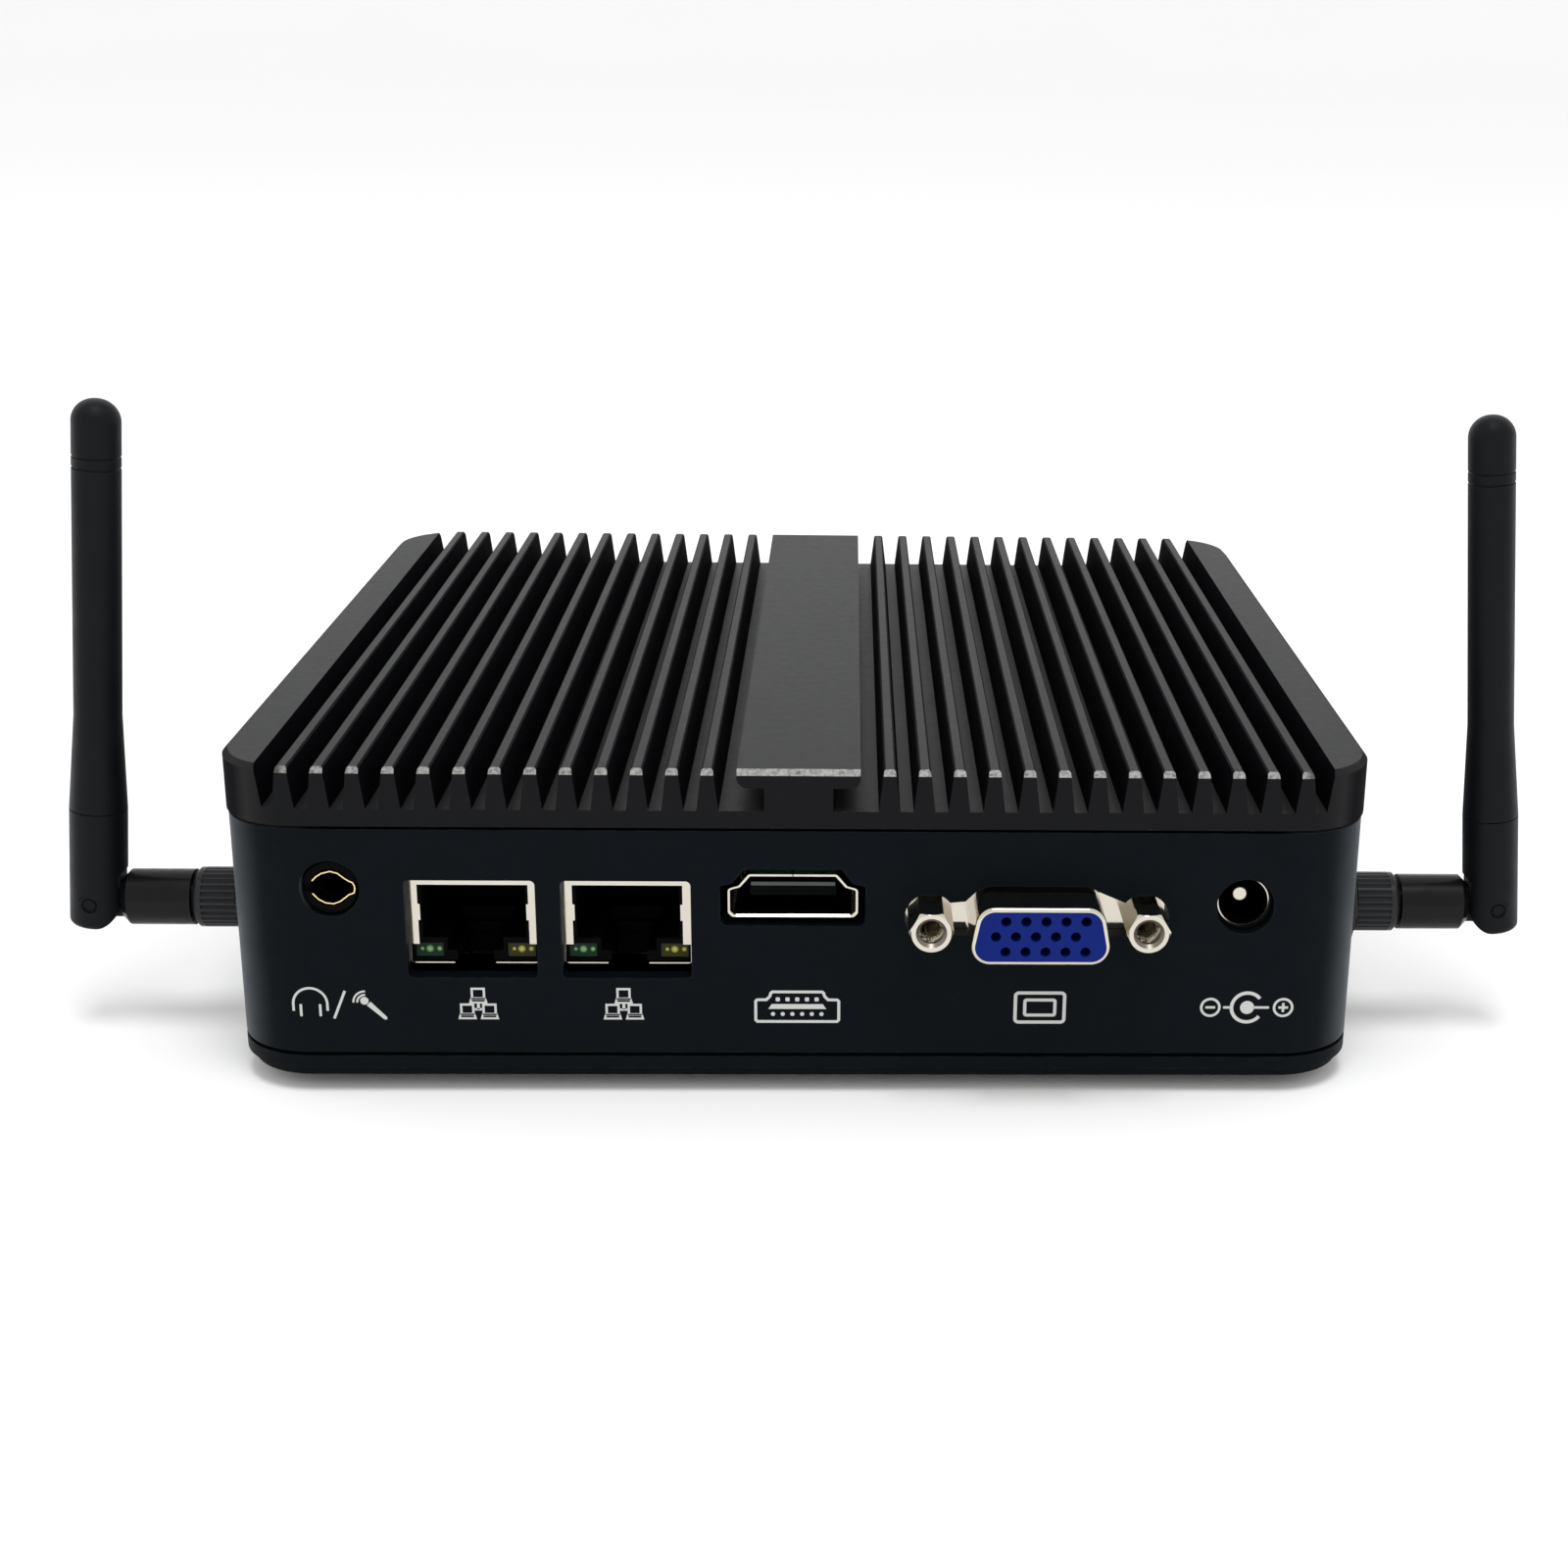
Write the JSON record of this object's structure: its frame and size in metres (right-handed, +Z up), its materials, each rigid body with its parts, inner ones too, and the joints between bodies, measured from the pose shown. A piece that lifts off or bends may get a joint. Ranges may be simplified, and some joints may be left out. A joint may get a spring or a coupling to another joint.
{
  "type": "mini pc",
  "caption": "Fanless mini computer: finned aluminium lid on a rounded box frame with network, video, audio and power sockets, and folding antennas on the side walls.",
  "frame": {"origin": "on the table, at the middle of the whole object seen from above, with its sockets, button and antennas", "axes": "+X to the right as seen from the socket side, +Y from the socket side to the button side, +Z up"},
  "size_m": [0.1804, 0.1328, 0.0788],
  "materials": {
    "lid_aluminium": "fine blasted black anodise, bare metal where the fin ends are chamfered",
    "frame_paint": "fine matt blue-black powder coat",
    "plate_paint": "matt black coated sheet",
    "foot_rubber": "soft matt rubber",
    "black_steel": "black zinc",
    "brass": "plain brass",
    "plain_aluminium": "milled",
    "board_green": "green solder mask",
    "chip_black": "moulded epoxy",
    "steel": "plain steel",
    "nickel": "satin nickel plate",
    "gold": "gold plate",
    "black_plastic": "moulded black plastic",
    "blue_plastic": "moulded blue plastic",
    "green_lamp": "tinted clear, unlit",
    "yellow_lamp": "tinted clear, unlit",
    "clear_plastic": "frosted clear",
    "usb_steel": "nickel-plated steel",
    "antenna_plastic": "fine matt elastomer",
    "antenna_gloss": "semi-gloss black",
    "cable_black": "coaxial lead jacket"
  },
  "bodies": {
    "case": {"heatsink_cover": "lid_aluminium", "main_frame": "frame_paint", "bottom_cover": "plate_paint", "rubber_feet": "foot_rubber", "case_screws": "black_steel", "thermal_block": "plain_aluminium", "board_standoffs": "brass", "board_screws": "steel", "motherboard": "board_green", "cpu_package": "chip_black", "memory_socket": "black_plastic", "memory_module": "board_green", "card_sockets": "black_plastic", "storage_card": "board_green", "wifi_card": "board_green", "card_screws": "steel", "backup_battery": "steel", "power_inductors": "chip_black", "power_capacitors": "plain_aluminium", "controller_chips": "chip_black", "audio_jack_body": "black_plastic", "audio_jack_contact": "gold", "left_lan_shield": "nickel", "right_lan_shield": "nickel", "left_lan_housing": "black_plastic", "right_lan_housing": "black_plastic", "lan_contacts": "gold", "link_lights": "green_lamp", "activity_lights": "yellow_lamp", "hdmi_shell": "nickel", "hdmi_tongue": "black_plastic", "vga_shell": "nickel", "vga_insert": "blue_plastic", "vga_jackscrews": "nickel", "dc_jack_body": "black_plastic", "dc_jack_pin": "nickel", "dc_jack_contact": "nickel", "power_switch": "black_plastic", "status_lights": "clear_plastic", "left_usb_shell": "usb_steel", "right_usb_shell": "usb_steel", "usb_tongues": "black_plastic", "bulkhead_nuts": "black_steel", "left_antenna_jack": "black_steel", "left_pigtail": "cable_black", "right_antenna_jack": "black_steel", "right_pigtail": "cable_black"},
    "power_button": {"power_button": "black_plastic"},
    "left_nut": {"left_coupling_nut": "antenna_gloss"},
    "left_barrel": {"left_swivel_barrel": "antenna_gloss"},
    "left_mast": {"left_antenna_knuckle": "antenna_plastic", "left_hinge_pin": "black_steel", "left_antenna_sleeve": "antenna_plastic", "left_antenna_radiator": "brass"},
    "right_nut": {"right_coupling_nut": "antenna_gloss"},
    "right_barrel": {"right_swivel_barrel": "antenna_gloss"},
    "right_mast": {"right_antenna_knuckle": "antenna_plastic", "right_hinge_pin": "black_steel", "right_antenna_sleeve": "antenna_plastic", "right_antenna_radiator": "brass"}
  },
  "joints": [
    {"name": "power_button_press", "type": "slide", "parent": "case", "child": "power_button", "axis": [0, -1, 0], "range_m": [0, 0.0006], "stiffness_N_per_m": 1500, "springref_m": -0.0004},
    {"name": "left_nut_turn", "type": "hinge", "parent": "case", "child": "left_nut", "pos_m": [-0.0717, -0.0414, 0.0174], "axis": [-1, 0, 0], "continuous": true},
    {"name": "left_antenna_swivel", "type": "hinge", "parent": "case", "child": "left_barrel", "pos_m": [-0.079, -0.0414, 0.0174], "axis": [-1, 0, 0], "range_deg": [-180, 180]},
    {"name": "left_antenna_fold", "type": "hinge", "parent": "left_barrel", "child": "left_mast", "pos_m": [-0.0868, -0.0414, 0.0174], "axis": [0, -1, 0], "range_deg": [0, 95.2]},
    {"name": "right_nut_turn", "type": "hinge", "parent": "case", "child": "right_nut", "pos_m": [0.0717, -0.0414, 0.0174], "axis": [1, 0, 0], "continuous": true},
    {"name": "right_antenna_swivel", "type": "hinge", "parent": "case", "child": "right_barrel", "pos_m": [0.079, -0.0414, 0.0174], "axis": [1, 0, 0], "range_deg": [-180, 180]},
    {"name": "right_antenna_fold", "type": "hinge", "parent": "right_barrel", "child": "right_mast", "pos_m": [0.0868, -0.0414, 0.0174], "axis": [0, 1, 0], "range_deg": [0, 95.2]}
  ]
}
